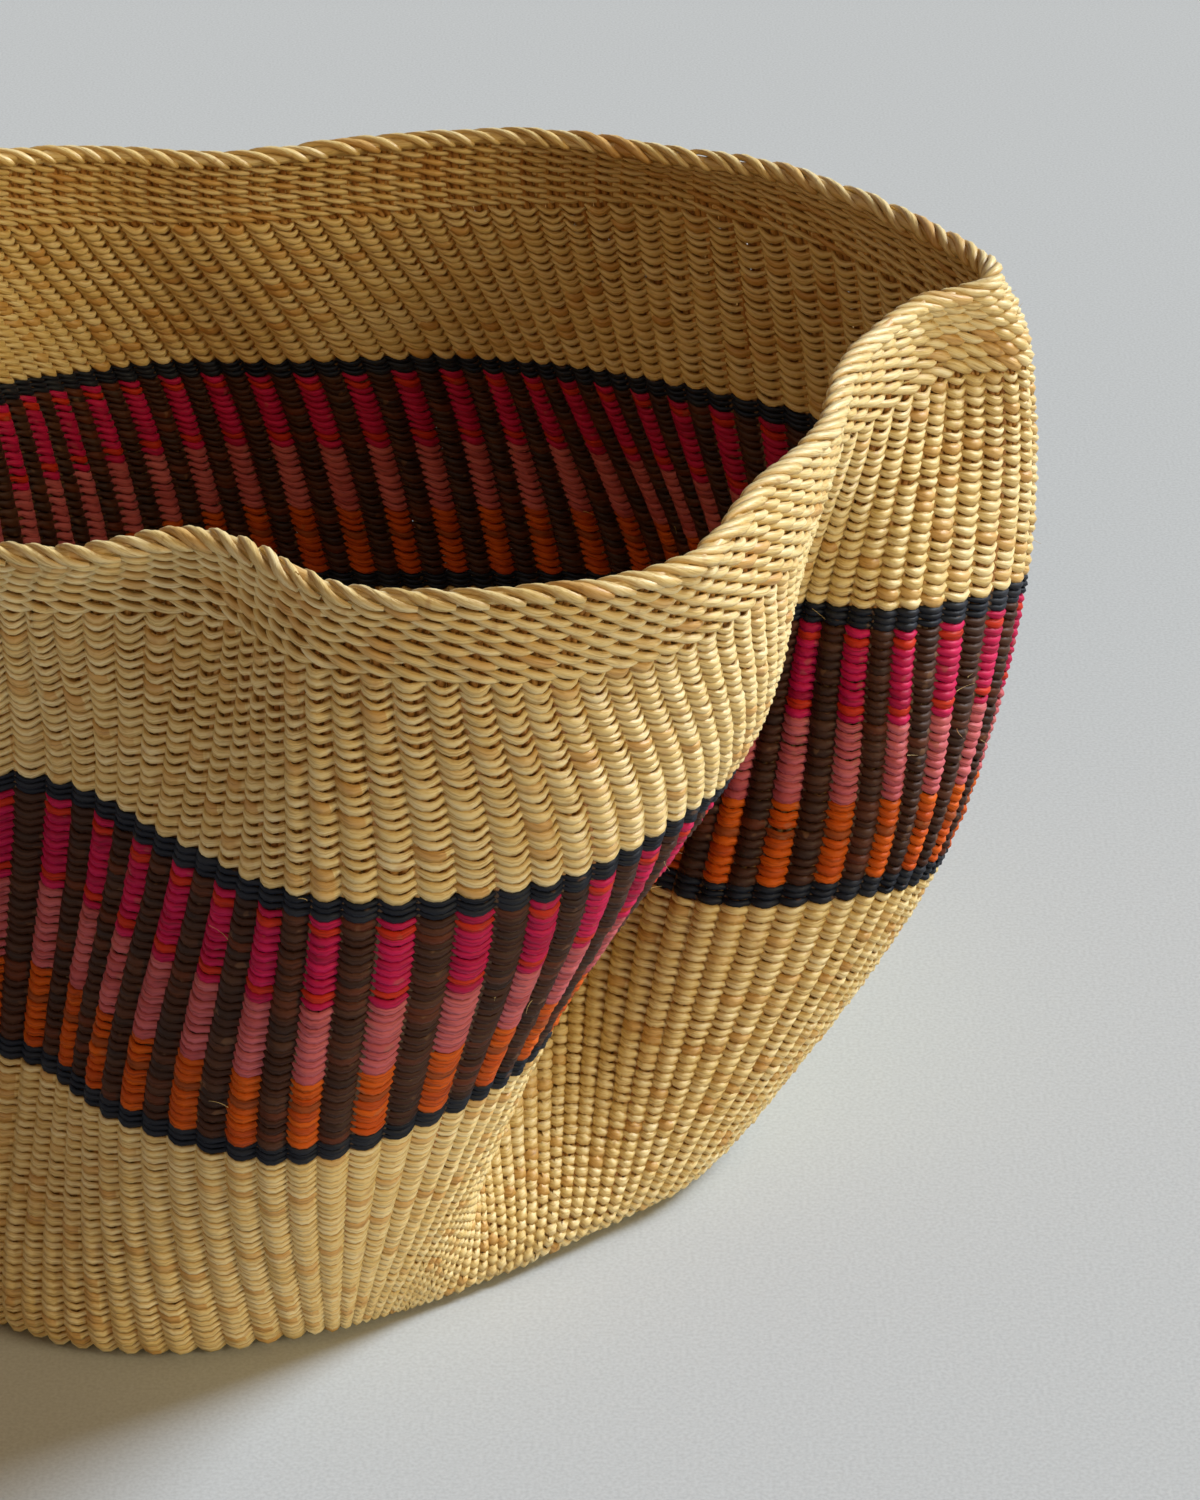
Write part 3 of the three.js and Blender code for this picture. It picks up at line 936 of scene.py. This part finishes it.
# The basket
STRAW_STOPS = ((0.0, "e9d8a2"), (0.3, "f2e7bd"), (0.6, "e5d299"), (0.85, "ecdca8"),
               (0.94, "dbba7c"), (1.0, "cea768"))
BASE_STOPS = ((0.0, "cbaa6c"), (0.5, "d6b87c"), (0.8, "bd955a"), (1.0, "a97f4c"))
STAKE_STOPS = ((0.0, "b98a4e"), (0.5, "d0a868"), (1.0, "a87640"))
BROWN_STOPS = ((0.0, "3a2014"), (0.35, "44271a"), (0.6, "322019"), (0.8, "4c3124"),
               (1.0, "5c2c18"))
NAVY_STOPS = ((0.0, "151a26"), (0.5, "1e232f"), (1.0, "262a34"))
ORANGE_STOPS = ((0.0, "c4500f"), (0.5, "d2600f"), (1.0, "b84a12"))
PINK_STOPS = ((0.0, "bd5c68"), (0.5, "cb6d76"), (1.0, "b3535c"))
MAGENTA_STOPS = ((0.0, "b8134e"), (0.5, "cb1c5c"), (1.0, "a91246"))

# Two strands, as nearly everywhere
TWINING = {"Strands": 2, "Ribs per Wave": 2, "Ribs": RIBS, "Steps per Rib": 5, "Sides": 5,
           "Half Depth": 1.05 * MM, "Height Share": 0.56, "Swing Out": 2.1 * MM,
           "Swing Up Share": -0.18, "Sag Share": 0.5, "Lean Out": 0.0, "Pinch": 0.5,
           "Blunt End": 0.6, "Taper": 0.9, "Lag": 0.25, "Unevenness": 0.7}
# Three strands, as in the collar
WALING = {**TWINING, "Strands": 3, "Ribs per Wave": 3, "Height Share": 0.32,
          "Swing Up Share": -0.31, "Sag Share": 0.0, "Lean Out": 0.5, "Pinch": 0.45,
          "Blunt End": 0.8, "Taper": 0.45, "Lag": 0.3, "Unevenness": 0.5,
          "Swing Out": 1.75 * MM, "Half Depth": 1.3 * MM}

LOWER_WALL_ROWS = 47
NAVY_ROWS = 3
ORANGE_ROWS = 9
PINK_ROWS = 9
MAGENTA_ROWS = 11
UPPER_WALL_ROWS = 21
COLLAR_ROWS = 6
COLLAR_UNDER_RIM = 0.35  # of the rim's height, to which the collar's rows reach
FIRST_SEED = 3
SEED_STRIDE = 10  # from one piece's seed to the next one's


def weave_courses(weave, finishes):
    edge = borders()
    low = (WALL_START, edge["lower_navy"], LOWER_WALL_ROWS)
    lower_navy = (edge["lower_navy"], edge["orange"], NAVY_ROWS)
    orange = (edge["orange"], edge["pink"], ORANGE_ROWS)
    pink = (edge["pink"], edge["magenta"], PINK_ROWS)
    magenta = (edge["magenta"], edge["upper_navy"], MAGENTA_ROWS)
    upper_navy = (edge["upper_navy"], edge["upper_wall"], NAVY_ROWS)
    high = (edge["upper_wall"], COLLAR_LEVEL, UPPER_WALL_ROWS)
    close = {"Height Share": 0.6}
    coarse = {**close, "Steps per Rib": 4, "Swing Out": 1.8 * MM}
    finer = {"Steps per Rib": 6, "Height Share": 0.53}
    loose = {**finer, "Height Share": 0.47, "Unevenness": 0.9}
    # Each piece has some of the rows of a stretch of wall, which lie evenly along each rib:
    # its node, the stretch, the rows before it and its own rows.
    pieces = (
        ("heel_rows", "lower_wall", low, 0, 12, "straw", coarse),
        ("lower_wall_first_rows", "lower_wall", low, 12, 12, "straw", coarse),
        ("lower_wall_middle_rows", "lower_wall", low, 24, 12, "straw", close),
        ("lower_wall_last_rows", "lower_wall", low, 36, 11, "straw", close),
        ("lower_navy_rows", "lower_navy_line", lower_navy, 0, NAVY_ROWS, "navy", close),
        ("orange_rows", "orange_course", orange, 0, ORANGE_ROWS, "orange", close),
        ("pink_rows", "pink_course", pink, 0, PINK_ROWS, "pink", close),
        ("magenta_rows", "magenta_course", magenta, 0, MAGENTA_ROWS, "magenta", close),
        ("upper_navy_rows", "upper_navy_line", upper_navy, 0, NAVY_ROWS, "navy", close),
        ("upper_wall_first_rows", "upper_wall", high, 0, 11, "straw", finer),
        ("upper_wall_last_rows", "upper_wall", high, 11, 10, "straw", loose),
    )
    for number, (name, node, stretch, before, rows, slot, changes) in enumerate(pieces):
        start, end, in_all = stretch
        settings = {**TWINING, **changes, "Rows": rows, "First Row": before,
                    "Seed": SEED_STRIDE * number + FIRST_SEED, "Material": finishes[slot]}
        sheet = wall_guide(name + "_guide", start, end, first=before / in_all,
                           last=(before + rows) / in_all)
        finish_piece(run_tree(name, weave, sheet, settings), [node])

    settings = {**WALING, "Rows": COLLAR_ROWS, "First Row": 0, "Seed": 201,
                "Material": finishes["straw"]}
    under_rim = edge["rim"] + COLLAR_UNDER_RIM * (RIM_LEVEL - edge["rim"])
    sheet = wall_guide("collar_guide", COLLAR_LEVEL, under_rim)
    finish_piece(run_tree("collar_rows", weave, sheet, settings), ["collar"])


def weave_rim(weave, border, rim_straw):
    core = {**TWINING, "Rows": 1, "First Row": 0, "Strands": 1, "Seed": 211,
            "Height Share": 0.28, "Half Depth": 2.1 * MM, "Swing Out": 0.0,
            "Swing Up Share": 0.0, "Sag Share": 0.0, "Pinch": 1.0, "Material": rim_straw}
    finish_piece(run_tree("rim_core", weave, rim_guide("rim_core_guide"), core),
                 ["rim_braid"])
    ends = {"Ribs": RIBS, "Steps": 15, "Sides": 6, "Reach in Ribs": 2.4,
            "Half Depth": 1.15 * MM, "Half Width": 1.5 * MM,
            "Round Out": RIM_THICKNESS / 2 - 1.7 * MM, "Round Up": RIM_HEIGHT / 2 - 1.3 * MM,
            "Seed": 223, "Material": rim_straw}
    finish_piece(run_tree("rim_plait", border, rim_guide("rim_plait_guide"), ends),
                 ["rim_braid"])


def set_stakes(stakes, material):
    settings = {"Ribs": RIBS, "Stakes per Rib": 3, "Steps": 44, "Sides": 4,
                "Half Depth": 0.9 * MM, "Half Width": 1.35 * MM, "Spread Share": 1.0,
                "Seed": 5, "Material": material}
    middle_of_rim = (borders()["rim"] + RIM_LEVEL) / 2
    sheet = wall_guide("stakes_guide", WALL_START, middle_of_rim, lines=96)
    finish_piece(run_tree("wall_stakes", stakes, sheet, settings),
                 ["lower_wall", "upper_wall", "collar"])


def add_loose_ends(loose_ends, material):
    settings = {"Count": 260, "Steps": 6, "Sides": 3, "Length": 7 * MM, "Thickness": 0.12 * MM,
                "Start Out": 2.6 * MM, "Lift": 3 * MM, "Seed": 401, "Material": material}
    sheet = wall_guide("loose_ends_guide", HEEL_LEVEL, RIM_LEVEL, lines=48)
    finish_piece(run_tree("loose_ends", loose_ends, sheet, settings),
                 ["lower_wall", "upper_wall", "collar"])


BASE_RIBS = 36
INNER_BASE_SHARE = 0.45  # of the way from the crossing to the wall


def weave_base(weave, stakes, crossing, base_straw):
    twining = {**TWINING, "Unevenness": 0.5, "Height Share": 0.6, "Swing Out": 1.7 * MM,
               "First Row": 0, "Material": base_straw}
    # From where to where, rows, ribs, steps per rib and seed. Stakes are added on the way
    # out, so the outer rows have twice as many ribs.
    rings = (("base_inner_rows", 0.0, INNER_BASE_SHARE, 15, BASE_RIBS, 6, 301),
             ("base_outer_rows", INNER_BASE_SHARE, 1.0, 18, 2 * BASE_RIBS, 4, 311))
    for name, start, end, rows, ribs, steps, seed in rings:
        settings = {**twining, "Rows": rows, "Ribs": ribs, "Steps per Rib": steps, "Seed": seed}
        piece = run_tree(name, weave, base_guide(name + "_guide", start, end), settings)
        finish_piece(piece, ["base_disc"])
    settings = {"Ribs": BASE_RIBS, "Stakes per Rib": 3, "Steps": 16, "Sides": 4,
                "Half Depth": 0.9 * MM, "Half Width": 1.0 * MM, "Spread Share": 0.72,
                "Seed": 7, "Material": base_straw}
    piece = run_tree("base_stakes", stakes, base_guide("base_stakes_guide", 0.0, 1.0), settings)
    finish_piece(piece, ["base_disc"])
    settings = {"Bundles": 6, "Stakes per Bundle": 3, "Steps": 25, "Sides": 5,
                "Radius": BASE_START_RADIUS, "Middle Height": WALL_THICKNESS / 2,
                "Swing": 1.2 * MM, "Half Depth": 1.2 * MM, "Seed": 9, "Material": base_straw}
    piece = run_tree("base_crossing", crossing, None, settings)
    finish_piece(piece, ["base_start"])


FLOOR_REACH = 4.0
FLOOR_TONES = ((0.3, "bcc5cf"), (0.5, "c3ccd6"), (0.7, "c9d2dc"))
FLOOR_GRAIN = 900.0
FLOOR_ROUGHNESS = 0.8
FLOOR_GLOSS = 0.2


def lay_floor():
    corners = [(-FLOOR_REACH, -FLOOR_REACH, 0), (FLOOR_REACH, -FLOOR_REACH, 0),
               (FLOOR_REACH, FLOOR_REACH, 0), (-FLOOR_REACH, FLOOR_REACH, 0)]
    mesh = bpy.data.meshes.new("floor")
    mesh.from_pydata(corners, [], [(0, 1, 2, 3)])
    floor = bpy.data.objects.new("floor", mesh)
    bpy.context.scene.collection.objects.link(floor)
    finish = Finish("pale_floor", FLOOR_ROUGHNESS, FLOOR_GLOSS)
    place = finish.nodes.new("ShaderNodeTexCoord").outputs["Object"]
    speckle = finish.add("ShaderNodeTexNoise", {"Vector": place, "Scale": FLOOR_GRAIN,
                                                "Detail": 1.0})
    finish.colour(finish.ramp(speckle, FLOOR_TONES))
    mesh.materials.append(finish.material)


def main():
    bpy.context.scene.view_settings.view_transform = "Standard"
    add_camera()
    light_the_scene()
    lay_floor()
    edge = borders()
    straw = straw_finish("pale_straw", STRAW_STOPS)
    rim_straw = straw_finish("rim_straw", STRAW_STOPS)
    base_straw = straw_finish("base_straw", BASE_STOPS, DULL_ROUGHNESS)
    stake_straw = straw_finish("stake_straw", STAKE_STOPS, DULL_ROUGHNESS,
                               (edge["lower_navy"], edge["upper_wall"]))
    finishes = {
        "straw": straw,
        "navy": dyed_finish("navy_grass", NAVY_STOPS, NAVY_STOPS),
        "orange": dyed_finish("orange_and_brown_grass", ORANGE_STOPS, BROWN_STOPS,
                              odd_rows=(5,), odd_tone="9a4a1e"),
        "pink": dyed_finish("pink_and_brown_grass", PINK_STOPS, BROWN_STOPS),
        "magenta": dyed_finish("magenta_and_brown_grass", MAGENTA_STOPS, BROWN_STOPS,
                               odd_rows=(1, 9), odd_tone="c4301a"),
    }
    weave = weave_tree()
    stakes = stake_tree()
    weave_courses(weave, finishes)
    weave_rim(weave, border_tree(), rim_straw)
    set_stakes(stakes, stake_straw)
    add_loose_ends(loose_end_tree(), straw)
    weave_base(weave, stakes, crossing_tree(), base_straw)


main()
